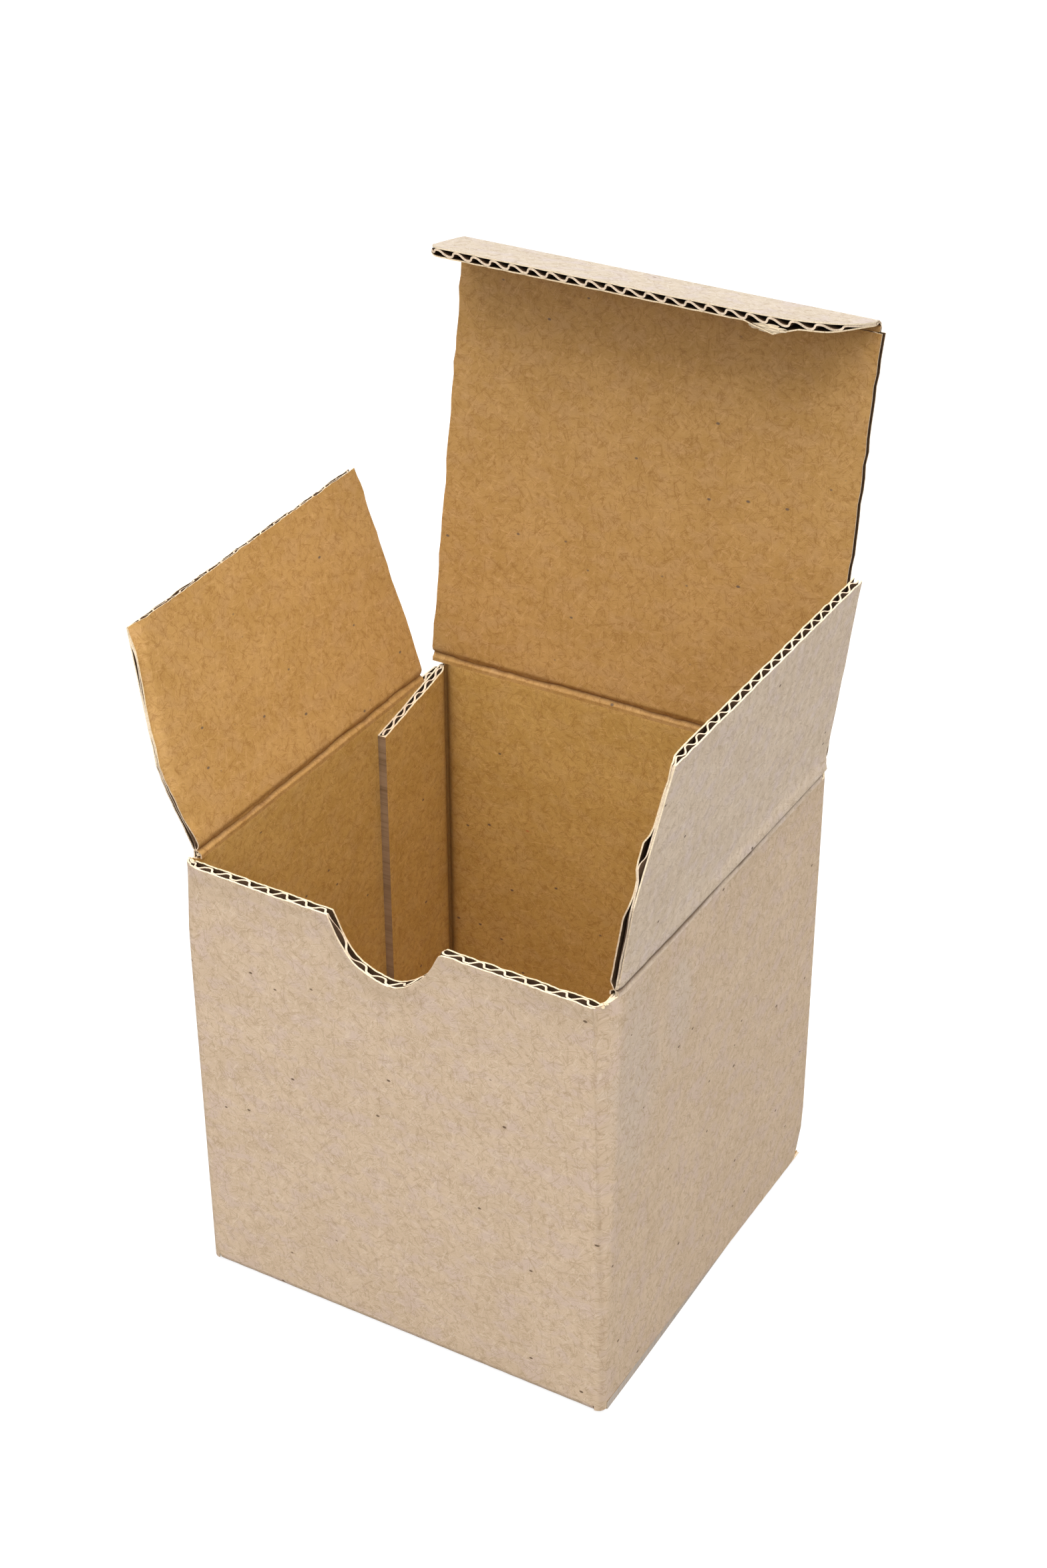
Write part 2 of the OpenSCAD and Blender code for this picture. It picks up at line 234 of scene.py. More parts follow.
class Board:
    """One piece of board, flat or folded.

    place(a, b, c) gives points for a across the flutes, b along them and c in from the outer face.
    low(a) and high(a) are its ends along the flutes. The other shapes are functions of (a, b):
    thickness; dent, how far the outer face is pushed in; ridge, how far the inner face is pushed
    out; loose, how far the inner liner alone has come away; filled, how much thicker that liner
    is, toward the flutes; calm, where the washboard fades; and outer_fold and
    inner_fold, how much painted shade each liner has in its folds. near_low and near_high
    are distances from the two ends at which the sheets have rows of their own.
    """

    def __init__(self, name, place, columns, low, high, seed, **more):
        self.name = name
        self.place = place
        self.columns = columns
        self.low = low
        self.high = high
        self.seed = seed
        for shape in ("dent", "ridge", "loose", "filled", "outer_fold", "inner_fold"):
            setattr(self, shape, more.get(shape, nothing))
        self.thickness = more.get("thickness", lambda a, b: BOARD_T + 0 * a)
        self.calm = more.get("calm", lambda a, b: 1 + 0 * a)
        self.near_low = more.get("near_low", np.array([0.0]))
        self.near_high = more.get("near_high", np.array([0.0]))
        self.count = more.get("count", 20)
        self.medium_count = more.get("medium_count", 9)
        self.lean = more.get("lean", WAVE_LEAN)
        self.rough = more.get("rough", lambda a: ROUGH_EDGE + 0 * a)
        self.ribs = more.get("ribs", WASHBOARD)
        self.liner_t = more.get("liner_t", 0.24)
        self.medium_t = more.get("medium_t", 0.26)
        self.open_sides = more.get("open_sides", (0.05, 0.05))
        self.follow = more.get("follow", 1.0)
        self.side_cut = more.get("side_cut")
        self.outside = more.get("outside", OUTSIDE)
        self.inside = more.get("inside", INSIDE)

    def grid(self, columns, seed, count, step=1):
        """Points of the sheet, with a ragged cut along its high end."""
        ragged = noise(columns, 0.5, seed) * 0.5 + noise(columns, 1.9, seed + 1)
        low = self.low(columns)
        high = self.high(columns) + ragged * self.rough(columns)
        near_low = self.near_low[::step]
        near_high = self.near_high[::-step][::-1]
        start, stop = low + near_low[-1], high - near_high[0]
        middle = start[:, None] + (stop - start)[:, None] * np.linspace(0, 1, count)[None, 1:-1]
        b = np.concatenate([low[:, None] + near_low, middle, high[:, None] - near_high], 1)
        return np.repeat(columns[:, None], b.shape[1], 1), b

    def washboard(self, a, b):
        """The flutes show through a liner as faint hollows."""
        waves = (1 - np.cos(2 * math.pi * a / PITCH)) / 2
        return self.ribs * waves * (1 + 0.5 * noise_2d(a, b, 9, self.seed)) * self.calm(a, b)

    def sheet(self, part, a, b, front_depth, back_depth, fold, materials, a_back=None):
        a_back = a if a_back is None else a_back
        front = self.place(a, b, front_depth)
        back = self.place(a_back, b, back_depth)
        shift = FLAT_SHIFT * self.seed
        flat_front = np.stack([a + shift, b, front_depth], -1)
        flat_back = np.stack([a_back + shift, b, back_depth], -1)
        return thin_solid(f"{self.name}_{part}", front, back, flat_front, flat_back, fold, materials)

    def plies(self):
        """The outer liner, the inner liner and the medium as three closed sheets."""
        a, b = self.grid(self.columns, self.seed, self.count)
        depth = self.dent(a, b) + self.washboard(a, b)
        outer = self.sheet(
            "outer_liner", a, b, depth, depth + self.liner_t, self.outer_fold(a, b),
            [self.outside, PLY, CUT, self.side_cut or SIDE_CUT],
        )
        a, b = self.grid(self.columns, self.seed + 5, self.count)
        depth = self.thickness(a, b) + self.ridge(a, b) + self.loose(a, b) - self.washboard(a, b)
        inner = self.sheet(
            "inner_liner", a, b, depth - self.liner_t - self.filled(a, b), depth, self.inner_fold(a, b),
            [PLY, self.inside, CUT_INNER, self.side_cut or SIDE_CUT_INNER],
        )
        return [outer, inner, self.medium()]

    def medium(self):
        """The wavy medium, drawn along its middle line and thickened to both sides."""
        low_side = self.columns[0] + self.open_sides[0]
        high_side = self.columns[-1] - self.open_sides[1]
        u = np.linspace(low_side, high_side, int((high_side - low_side) / PITCH * WAVE_STEPS))
        turn = 2 * math.pi * (u + 0.16 * noise(u, 2.4 * PITCH, self.seed + 7)) / PITCH
        wave = np.tanh(WAVE_SQUARENESS * np.cos(turn)) / math.tanh(WAVE_SQUARENESS)
        across = np.clip(u - self.lean * PITCH * wave, low_side, high_side)
        a, b = self.grid(across, self.seed + 9, self.medium_count, step=2)
        inside = np.repeat(u[:, None], b.shape[1], 1)
        top = self.dent(inside, b) + self.liner_t
        bottom = self.thickness(inside, b) + 0.5 * self.ridge(inside, b)
        bottom = bottom + self.follow * self.loose(inside, b) - self.liner_t
        half = np.minimum(self.medium_t, np.maximum(bottom - top, 0.08)) / 2
        swing = np.maximum((bottom - top) / 2 - half + 0.02, 0)
        uneven = 1 - 0.1 * np.abs(noise(u, PITCH, self.seed + 8))[:, None]
        sides = hill(u, low_side, 1.5) + hill(u, high_side, 1.5)
        stray = 0.45 * noise(b, 5.0, self.seed + 11) * sides[:, None]
        middle = (top + bottom) / 2 + swing * np.clip(stray - uneven * wave[:, None], -1, 1)
        slope_a = np.gradient(a, u, axis=0)
        slope_c = np.gradient(middle, u, axis=0)
        length = np.maximum(np.hypot(slope_a, slope_c), 1e-6)
        off_a, off_c = half * slope_c / length, -half * slope_a / length
        return self.sheet(
            "medium", a + off_a, b, middle + off_c, middle - off_c, 0 * a,
            [MEDIUM, MEDIUM, CUT_MEDIUM, self.side_cut or CUT_MEDIUM], a - off_a,
        )


def spaced(first, last, step):
    return np.linspace(first, last, max(2, int(round((last - first) / step)) + 1))


def with_corners(columns, corners):
    """Columns with two close ones at each corner, for an outline that steps there."""
    extra = [x for c in corners for x in (c - 0.01, c + 0.01)]
    return np.unique(np.concatenate([columns, extra]))


# The ring of walls, one strip of board folded at four upright creases
ARC_LENGTH = math.pi / 2 * (FOLD_R - HALF_T)
TAB_X = -HALF_W + BOARD_T
FLAT_X, FLAT_Y = HALF_W - FOLD_R, HALF_D - FOLD_R
TAB_END_Y = HALF_D - BOARD_T - TAB_W
LEFT, FRONT_LEFT, FRONT, FRONT_RIGHT, RIGHT, BACK_RIGHT, BACK, BACK_LEFT, TAB = range(9)

# Upright folds that are rounder at one end: the fold, the way it is pushed in, its reach, by how
# much, and the heights between which that grows
SOFT_CORNERS = (
    (FRONT_LEFT, (0.7, 0.7), 1.6, 0.6, (66.0, 80.0)),
    (BACK_RIGHT, (-0.7, -0.7), 2.0, 0.9, (9.0, 0.5)),
)


def pressed_in(x, y, z):
    """How far the plane pushes in a point of the outer face, at a height."""
    past_x = x - HALF_W + PRESSED_REACH * z / RIM_Z
    past = PRESSED_NORMAL[0] * past_x + PRESSED_NORMAL[1] * (y + HALF_D)
    return PRESSED_SOFT * np.logaddexp(0, past / PRESSED_SOFT)


class Ring:
    """The strip's path seen from above, as straight runs and quarter turns."""

    def __init__(self):
        left_start = HALF_D - LAYER_ROOM
        back_run = FLAT_X - (TAB_X + FOLD_R)
        self.runs = [
            ("line", (-HALF_W, left_start), 270, left_start + FLAT_Y),
            ("arc", (-FLAT_X, -FLAT_Y), 180, ARC_LENGTH),
            ("line", (-FLAT_X, -HALF_D), 0, 2 * FLAT_X),
            ("arc", (FLAT_X, -FLAT_Y), 270, ARC_LENGTH),
            ("line", (HALF_W, -FLAT_Y), 90, 2 * FLAT_Y),
            ("arc", (FLAT_X, FLAT_Y), 0, ARC_LENGTH),
            ("line", (FLAT_X, HALF_D), 180, back_run),
            ("arc", (TAB_X + FOLD_R, FLAT_Y), 90, ARC_LENGTH),
            ("line", (TAB_X, FLAT_Y), 270, FLAT_Y - TAB_END_Y),
        ]
        self.starts = np.concatenate([[0], np.cumsum([r[3] for r in self.runs])])
        self.back_y = left_start

    def from_fold(self, s, fold):
        """Distance along the strip from the middle of an upright fold."""
        return s - self.starts[fold] - ARC_LENGTH / 2

    def along(self, s):
        """X or Y along each straight wall, as the flap hinged on it counts it."""
        which = self.run_at(s)
        t = s - self.starts[which]
        y = np.where(which == LEFT, self.back_y - t, t - FLAT_Y)
        return np.where(which == BACK, FLAT_X - t, y)

    def run_at(self, s):
        return np.clip(np.searchsorted(self.starts, s, side="right") - 1, 0, len(self.runs) - 1)

    def seen_from_above(self, s, c):
        x, y = np.zeros_like(s), np.zeros_like(s)
        which = self.run_at(s)
        for k, (kind, point, angle, length) in enumerate(self.runs):
            here = which == k
            t = s[here] - self.starts[k]
            if kind == "line":
                ahead = math.radians(angle)
                out = ahead - math.pi / 2
                x[here] = point[0] + t * math.cos(ahead) - c[here] * math.cos(out)
                y[here] = point[1] + t * math.sin(ahead) - c[here] * math.sin(out)
            else:
                turn = math.radians(angle) + t / length * math.pi / 2
                x[here] = point[0] + (FOLD_R - c[here]) * np.cos(turn)
                y[here] = point[1] + (FOLD_R - c[here]) * np.sin(turn)
        return x, y

    def place(self, s, z, c):
        x, y = self.seen_from_above(s, c)
        push = pressed_in(*self.seen_from_above(s, 0 * c), z)
        x, y = x - PRESSED_NORMAL[0] * push, y - PRESSED_NORMAL[1] * push
        for fold, across, reach, amount, height in SOFT_CORNERS:
            push = amount * hill(self.from_fold(s, fold), 0, reach) * smooth(z, *height)
            x, y = x + across[0] * push, y + across[1] * push
        return np.stack([x, y, z], -1)


RING = Ring()


def rim_height(x):
    """Height of the front rim, with its thumb notch."""
    notch = np.interp(x, NOTCH_X, NOTCH_Z, left=RIM_Z + 9, right=RIM_Z + 9)
    return np.minimum(RIM_Z - RIM_SLOPE * x, notch)


def ring_high(s):
    """Upper end of the walls along the strip."""
    which = RING.run_at(s)
    t = s - RING.starts[which]
    side = FLAP_AXIS_Z - BAND
    corner = RIM_Z + np.where(which == LEFT, RIM_SLOPE, -RIM_SLOPE) * HALF_W
    near_front = 1 - smooth(RING.along(s) + FLAT_Y, 0, 2.2)
    x = np.where(which == FRONT, t - FLAT_X, np.where(which == FRONT_LEFT, -FLAT_X, FLAT_X))
    high = rim_height(x)
    high = np.where((which == LEFT) | (which == RIGHT), side + (corner - side) * near_front, high)
    half_turn = t > ARC_LENGTH / 2
    high = np.where(which == BACK_RIGHT, np.where(half_turn, LID_AXIS_Z - BAND, side), high)
    high = np.where((which == BACK) | (which == BACK_LEFT), LID_AXIS_Z - BAND, high)
    high = np.where((which == BACK_LEFT) & half_turn, TAB_TOP_Z, high)
    return np.where(which == TAB, TAB_TOP_Z - t * math.tan(TAB_SLOPE), high)


def side_fold_z(y):
    """Height where the side walls start to fold in, which falls toward the back."""
    return BOARD_T + BOTTOM_SIDE_ROOM + BOTTOM_SIDE_R - BOTTOM_SIDE_DROP * (y + HALF_D) / (2 * HALF_D)


def ring_low(s):
    """Lower end of the walls along the strip, above the bottom's folds."""
    which = RING.run_at(s)
    t = s - RING.starts[which]
    worn = LAYER_ROOM + 1.7 * hill(RING.from_fold(s, BACK_RIGHT), 0, 1.3)
    low = np.where(which == FRONT, BOARD_T, worn)
    low = np.where((which == FRONT_LEFT) | (which == FRONT_RIGHT), 0.7, low)
    low = np.where((which == LEFT) | (which == RIGHT), side_fold_z(RING.along(s)), low)
    rise = 3 * BOARD_T + t * math.tan(TAB_SLOPE)
    return np.where(which == TAB, rise, low)


def below_crease(s, z):
    """Height above the crease of the flap that the wall carries, far below it elsewhere."""
    which = RING.run_at(s)
    side = (which == LEFT) | (which == RIGHT)
    axis = np.where(side, FLAP_AXIS_Z, LID_AXIS_Z)
    return np.where(side | (which == BACK), z - axis, -99.0)


def ring_rough(s):
    """Only the front rim, its corners and the glue tab end in a cut."""
    which = RING.run_at(s)
    cut = (which == FRONT_LEFT) | (which == FRONT) | (which == FRONT_RIGHT) | (which == TAB)
    return np.where(cut, ROUGH_EDGE, 0.0)


def ring_thickness(s, z):
    """Thinner in the folds, at the crushed front right corner, and where the closed tuck has worn it."""
    corners = (FRONT_LEFT, FRONT_RIGHT, BACK_RIGHT, BACK_LEFT)
    folds = [hill(RING.from_fold(s, k), 0, 0.9) for k in corners]
    valley = hill(RING.from_fold(s, BACK_LEFT), 0, 0.9)
    crushed = 0.8 * hill(RING.from_fold(s, FRONT_RIGHT), 0.9, 2.0) * smooth(z, 70, 77)
    tuck_worn = 1.0 * hill(RING.from_fold(s, FRONT_LEFT), -2.0, 1.5) * smooth(z, 67, 70)
    thickness = crease_thickness(below_crease(s, z)) - 0.25 * np.max(folds, 0) - 0.5 * valley
    return np.maximum(thickness - crushed - tuck_worn, 0.62)


def ring_apart(s, z):
    """1 along the front rim, where the plies have come a little apart."""
    which = RING.run_at(s)
    return np.where(which == FRONT, smooth(z, ring_high(s) - 3.4, ring_high(s) - 0.1), 0.0)


def ring_filled(s, z):
    """The strip's two cut sides are fuzzy and closed."""
    past = np.maximum(0.4 - s, s - RING.starts[-1] + 0.4)
    return (BOARD_T - 0.6) * smooth(past, 0, 0.3)


# Painted shade in the valley between the glue tab and the back wall, and inside the front left fold
def ring_inner_fold(s, z):
    front_left = 0.4 * hill(RING.from_fold(s, FRONT_LEFT), 0, 0.8)
    return 0.7 * hill(RING.from_fold(s, BACK_LEFT), 0, 1.9) + front_left


# Painted shade along the front right fold, on a line that moves toward the front higher up
def ring_outer_fold(s, z):
    sharpest = -1.5 * np.clip(z / RIM_Z, 0, 1) ** 1.9
    return 0.16 * hill(RING.from_fold(s, FRONT_RIGHT), sharpest, 0.25)


def ring_columns():
    """Columns of the strip: close together in the folds, the front rim and the notch."""
    starts = [float(v) for v in RING.starts]
    steps = (0.55, 0.12, 0.3, 0.12, 0.55, 0.12, 0.55, 0.12, 0.4)
    runs = [spaced(starts[k], starts[k + 1], step) for k, step in enumerate(steps)]
    middle = starts[FRONT] + FLAT_X
    runs.append(spaced(middle + NOTCH_X[0], middle + NOTCH_X[-1], 0.12))
    runs.append(spaced(starts[FRONT_LEFT] - 3, starts[FRONT_LEFT], 0.2))
    runs.append(spaced(starts[FRONT_RIGHT] - 3, starts[FRONT_RIGHT], 0.12))
    runs.append(spaced(starts[RIGHT], starts[RIGHT] + 6, 0.2))
    columns = np.unique(np.round(np.concatenate(runs), 4))
    return with_corners(columns, starts[1:-1] + [middle + NOTCH_X[0]])


def carton_walls():
    return Board(
        "carton_walls", RING.place, ring_columns(), ring_low, ring_high, 1,
        thickness=ring_thickness, ridge=lambda s, z: crease_ridge(below_crease(s, z)),
        dent=lambda s, z: -0.28 * ring_apart(s, z), loose=lambda s, z: 0.12 * ring_apart(s, z),
        calm=lambda s, z: 1 - smooth(below_crease(s, z), -4, -BAND), rough=ring_rough,
        outer_fold=ring_outer_fold, inner_fold=ring_inner_fold, side_cut=TAB_CUT,
        near_high=np.linspace(2.4, 0, 11), count=17, liner_t=0.3, medium_t=0.34,
        filled=ring_filled, open_sides=(0.5, 0.5), outside=OUTSIDE_WALLS, inside=INSIDE_WALLS,
    )


class Bends:
    """A strip that runs along b in one plane, with sharp turns.

    plane(a, p, q) gives points in the row frame. start is where the outer face begins, angle its
    first heading in the (p, q) plane, and turns a list of (b, change of heading, radius). The outer
    face lies on the right of the heading.
    """

    def __init__(self, plane, start, angle, turns):
        self.plane = plane
        self.start = start
        self.angle = angle
        self.turns = turns

    def place(self, a, b, c):
        p, q = np.full_like(b, self.start[0]), np.full_like(b, self.start[1])
        heading = np.full_like(b, self.angle)
        done = 0.0
        for at, change, radius in self.turns:
            run = np.clip(b, done, at) - done
            p, q = p + run * np.cos(heading), q + run * np.sin(heading)
            length = abs(change) * radius
            t = np.clip((b - at) / length, 0, 1) * change
            sign = math.copysign(1, change)
            centre_p, centre_q = p - sign * radius * np.sin(heading), q + sign * radius * np.cos(heading)
            turned = heading + t
            p, q = centre_p + sign * radius * np.sin(turned), centre_q - sign * radius * np.cos(turned)
            heading = turned
            done = at + length
        run = np.maximum(b - done, 0)
        p, q = p + run * np.cos(heading), q + run * np.sin(heading)
        p, q = p - c * np.sin(heading), q + c * np.cos(heading)
        return self.plane(a, p, q)


BOTTOM_QUARTER = math.pi / 2 * BOARD_T


def bottom_panel():
    """It folds in from the front wall, and its tuck goes up inside the back wall.

    Past the upright folds' lower ends it is as wide as the carton.
    """
    run = 2 * HALF_D - 3 * BOARD_T - LAYER_ROOM
    path = Bends(
        lambda a, p, q: np.stack([a, p, q], -1), (-HALF_D, BOARD_T), -math.pi / 2,
        [(0.0, math.pi / 2, BOARD_T), (BOTTOM_QUARTER + run, math.pi / 2, BOARD_T)],
    )
    end = 2 * BOTTOM_QUARTER + run + BOTTOM_TUCK_Z - BOARD_T

    def low(a):
        return np.where(np.abs(a) > BOTTOM_FOLD_HALF_W, BOTTOM_QUARTER + 0.3, 0.0)

    def high(a):
        return np.where(np.abs(a) > BOTTOM_FOLD_HALF_W, BOTTOM_QUARTER + run, end)

    def place(a, b, c):
        """The panel's sides draw in a little toward the back."""
        return path.place(a * (1 - BOTTOM_DRAW_IN * smooth(b, 4, run) * smooth(np.abs(a), 30, 37)), b, c)

    columns = spaced(-BOTTOM_HALF_W, BOTTOM_HALF_W, 0.6)
    columns = with_corners(columns, [-BOTTOM_FOLD_HALF_W, BOTTOM_FOLD_HALF_W])
    return Board(
        "bottom_panel", place, columns, low, high, 2,
        near_low=np.linspace(0, 2.6, 9), count=26, side_cut=BOTTOM_CUT, open_sides=(0.6, 0.6),
        near_high=np.append(np.linspace(14.2, 11.2, 10), [7.5, 3.7, 0]),
        filled=lambda a, b: (BOARD_T - 0.5) * smooth(np.abs(a), BOTTOM_HALF_W - 0.5, BOTTOM_HALF_W - 0.2),
    )


def bottom_dust_flap(side, seed):
    """It folds in from a side wall, above the bottom panel."""
    name = "left" if side < 0 else "right"
    path = Bends(
        lambda a, p, q: np.stack([side * p, a, q + side_fold_z(a)], -1),
        (HALF_W, 0.0), -math.pi / 2, [(0.0, -math.pi / 2, BOTTOM_SIDE_R)],
    )
    quarter = math.pi / 2 * BOTTOM_SIDE_R
    end = quarter + HALF_W - BOTTOM_SIDE_R - BOTTOM_TIP_X

    def place(a, b, c):
        return path.place(a, b, -c)

    columns = with_corners(spaced(-BOTTOM_FOLD_HALF_W, BOTTOM_FOLD_HALF_W, 0.6), [BOTTOM_FLAP_BACK_Y])
    return Board(
        f"bottom_{name}_dust_flap", place, columns, nothing,
        lambda a: np.where(a > BOTTOM_FLAP_BACK_Y, quarter, end), seed,
        thickness=lambda a, b: BOARD_T - 1.2 * hill(b, quarter / 2, 0.7),
        near_low=np.linspace(0, quarter - 0.05, 9), count=14,
    )


class Hinged:
    """A panel that hinges at a crease. b is the distance from the hinge axis along the board.

    along, up and out are the axis direction, the direction of the board below the crease and the
    outward normal there. bend turns the panel outward from up, in radians. Beyond the crease band
    the middle of the board lies on a straight line through the axis.
    """

    def __init__(self, axis, along, up, out, bend):
        self.axis = np.array(axis, float)
        self.along = np.array(along, float)
        self.up = np.array(up, float)
        self.out = np.array(out, float)
        self.ahead = self.up * math.cos(bend) + self.out * math.sin(bend)

    def place(self, a, b, c):
        inner = np.clip(b, -BAND, BAND)
        past = (inner + BAND) ** 2 / (4 * BAND) + np.maximum(b - BAND, 0)
        before = -((BAND - inner) ** 2) / (4 * BAND) + np.minimum(b + BAND, 0)
        share = (inner + BAND) / (2 * BAND)
        tangent = self.up * (1 - share)[..., None] + self.ahead * share[..., None]
        tangent = tangent / np.linalg.norm(tangent, axis=-1, keepdims=True)
        normal = np.cross(self.along, tangent)
        normal = normal * np.sign(np.sum(np.cross(self.along, self.up) * self.out))
        middle = self.axis + a[..., None] * self.along + before[..., None] * self.up
        middle = middle + past[..., None] * self.ahead
        return middle + (HALF_T - c)[..., None] * normal


def crease_thickness(b):
    """The board is crushed at its crease."""
    return BOARD_T - (BOARD_T - CREASE_T) * hill(b, 0, 0.75)


def crease_ridge(b):
    """The inner liner bulges on both sides of a crease, more so below it."""
    return 0.17 * hill(b, -0.6, 0.3) + 0.05 * hill(b, 0.8, 0.4)


def crease_line(a, seed):
    """Distance of the crease's sharpest line from its axis."""
    return 0.3 * noise(a, 6.0, seed) + 0.12 * noise(a, 1.7, seed + 1)


# Rows of a hinged panel from its low end, which lies BAND below the axis
HINGE_ROWS = np.linspace(0, 2 * BAND, 27)


def edge_wander(a, b, low, high, seed):
    """Moves points near the sheet's two side cuts, so that they aren't ruled lines."""
    width = 0.18 * noise(b, 2.6, seed) + 0.07 * noise(b, 0.7, seed + 1)
    return a + width * (hill(a, low, 1.6) - hill(a, high, 1.6))


def hinged_board(name, hinge, low, high, end, seed, **more):
    """A hinged panel between low and high along its crease, ending at end(a).

    crack is the depth of the line that its outer liner breaks along. bow(a, b) pushes the panel
    outward, and skew(a, b) moves it along the crease.
    """
    crack = more.pop("crack", 0.15)
    bow, skew = more.pop("bow", nothing), more.pop("skew", nothing)

    def place(a, b, c):
        across = edge_wander(a, b, low, high, seed + 20) + skew(a, b)
        return hinge.place(across, b, c - bow(a, b))

    def line(a, b, width):
        return hill(b, crease_line(a, seed), width)

    columns = with_corners(spaced(low, high, 0.4), more.pop("corners", []))
    columns = np.unique(np.concatenate([columns, more.pop("columns", [])]))
    return Board(
        name, place, columns, lambda a: 0 * a - BAND, end, seed,
        thickness=lambda a, b: crease_thickness(b) + more.get("crush", nothing)(a, b),
        dent=lambda a, b: 0.1 * hill(b, 0, 0.5) + crack * line(a, b, 0.16),
        ridge=lambda a, b: crease_ridge(b) - CREASE_GROOVE * line(a, b, 0.17),
        calm=lambda a, b: smooth(np.abs(b), BAND, 4.0),
        # Painted shade along the crease line, on the outer and on the inner liner
        outer_fold=lambda a, b: more.get("crack_dark", 0.4) * line(a, b, more.get("crack_width", 0.3)),
        inner_fold=lambda a, b: 0.6 * line(a, b, 0.22),
        near_low=HINGE_ROWS, **more,
    )


def lid_board():
    hinge = Hinged((0, HALF_D - HALF_T, LID_AXIS_Z), (1, 0, 0), (0, 0, 1), (0, 1, 0), LID_LEAN)
    return hinge, hinged_board(
        "lid", hinge, -LID_HALF_W, LID_HALF_W, lambda a: LID_REACH - LID_SLANT * a - BAND, 6,
        count=34, medium_count=12, open_sides=(0.3, 0.9), rough=nothing,
    )


def quarter_drop(distance, width, height):
    """How far a rounded corner falls short of the edge, at a distance from the side."""
    t = np.clip(distance / width, 0, 1)
    return height * (1 - np.sqrt(np.maximum(1 - (1 - t) ** 2, 0)))


TUCK_LEFT = -LID_HALF_W + 0.3
TUCK_RIGHT = LID_HALF_W - 0.6


def tuck_end(a):
    """Free edge of the tuck flap: a small round corner on the left and a long one on the right."""
    left = quarter_drop(a - TUCK_LEFT, TUCK_LEFT_R, TUCK_LEFT_R)
    return TUCK_REACH - left - quarter_drop(TUCK_RIGHT - a, TUCK_RIGHT_W, TUCK_REACH - TUCK_ROOT)


def torn_away(a, b):
    """The tuck flap's inner liner has come loose near its free edge, and hangs down in a point."""
    point = np.interp(a, (19.8, 24.6, 28.4), (0, 1.25, 0))
    return point * smooth(b, 6.5, TUCK_REACH)


def tuck_board(lid_hinge):
    axis = lid_hinge.axis + LID_REACH * lid_hinge.ahead
    along = np.array([1, 0, 0]) - LID_SLANT * lid_hinge.ahead
    out = np.cross(lid_hinge.ahead, lid_hinge.along)
    out = out * np.sign(out[1])
    hinge = Hinged(axis, along / np.linalg.norm(along), lid_hinge.ahead, out, -math.pi / 2)
    turns = 1 - np.cos(np.linspace(0, math.pi / 2, 28))
    ends = np.concatenate([TUCK_RIGHT - TUCK_RIGHT_W * turns, TUCK_LEFT_R * turns[::2] + TUCK_LEFT])
    return hinge, hinged_board(
        "tuck_flap", hinge, TUCK_LEFT, TUCK_RIGHT, tuck_end, 7, count=16, medium_count=9,
        lean=0.09, loose=torn_away, follow=0.0, crack=0.0, crack_dark=0.0,
        liner_t=0.22, medium_t=0.35, outside=OUTSIDE_TUCK,
        crush=lambda a, b: -0.85 * smooth(a, TUCK_RIGHT - 5, TUCK_RIGHT) - 0.4 * hill(a, TUCK_LEFT, 1.2),
        columns=ends, corners=[24.6],
    )


def flap_end(a, rise):
    """Free edge of a dust flap: it rises a little, and its front corner is cut off at a slant."""
    tapering = FLAP_TAPER_START + (FLAP_REACH - FLAP_TAPER_START) * (a - FLAP_FRONT_Y) / FLAP_TAPER
    return np.minimum(tapering, FLAP_REACH + rise * (a - FLAP_FRONT_Y - FLAP_TAPER))


def dust_flap_board(side, lean, back, spread, rise, seed, **more):
    """A dust flap. a runs toward the back of the carton."""
    name = "left_dust_flap" if side < 0 else "right_dust_flap"
    open_from = more.pop("open_from", 2.0)
    hinge = Hinged((side * (HALF_W - HALF_T), 0, FLAP_AXIS_Z), (0, 1, 0), (0, 0, 1), (side, 0, 0), lean)

    def crush(a, b):
        """A bumped corner, and a front side that is pressed shut in places."""
        tapered = np.clip((b - FLAP_TAPER_START) / (FLAP_REACH - FLAP_TAPER_START), 0, 1)
        side_y = FLAP_FRONT_Y + FLAP_TAPER * tapered
        shut = np.clip(0.5 + 1.1 * noise_2d(a * 0, b, 4.5, seed + 40), 0, 1)
        shut = shut * smooth(b, open_from, open_from + 4)
        corner = 0.4 * hill(a, FLAP_FRONT_Y + FLAP_TAPER, 2.2) * hill(b, FLAP_REACH, 2.6)
        return -0.85 * shut * hill(a, side_y, 1.3) - corner

    return hinge, hinged_board(
        name, hinge, FLAP_FRONT_Y, back, lambda a: flap_end(a, rise), seed, count=26, medium_count=12,
        skew=lambda a, b: spread * np.clip(b, 0, FLAP_REACH) / FLAP_REACH * smooth(a, -20, back),
        crush=crush, corners=[FLAP_FRONT_Y + FLAP_TAPER], **more,
    )


def right_flap_bow(a, b):
    """It bulges a little over the wall, and follows the pressed fold at its front."""
    pressed = PRESSED_NORMAL[0] * pressed_in(HALF_W, a, RIM_Z) * (1 - smooth(b, 0.5, 14))
    return 0.6 * hill(b, 1.5, 1.1) * smooth(a, -30, 10) - pressed


def torn_bit(name, centre, size, seed, node="carton_body", body="carton"):
    """A small closed tuft of torn paper."""
    tuft = bmesh.new()
    bmesh.ops.create_icosphere(tuft, subdivisions=3, radius=1.0)
    rough = np.random.default_rng(seed)
    for vertex in tuft.verts:
        swell = rough.uniform(0.55, 1.25)
        vertex.co = [MM * (c + s * swell * v) for c, s, v in zip(centre, size, vertex.co)]
    mesh = bpy.data.meshes.new(name)
    tuft.to_mesh(mesh)
    tuft.free()
    mesh.materials.append(CUT)
    piece = placed(name, mesh)
    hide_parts(node)
    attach(piece, body)


# Materials

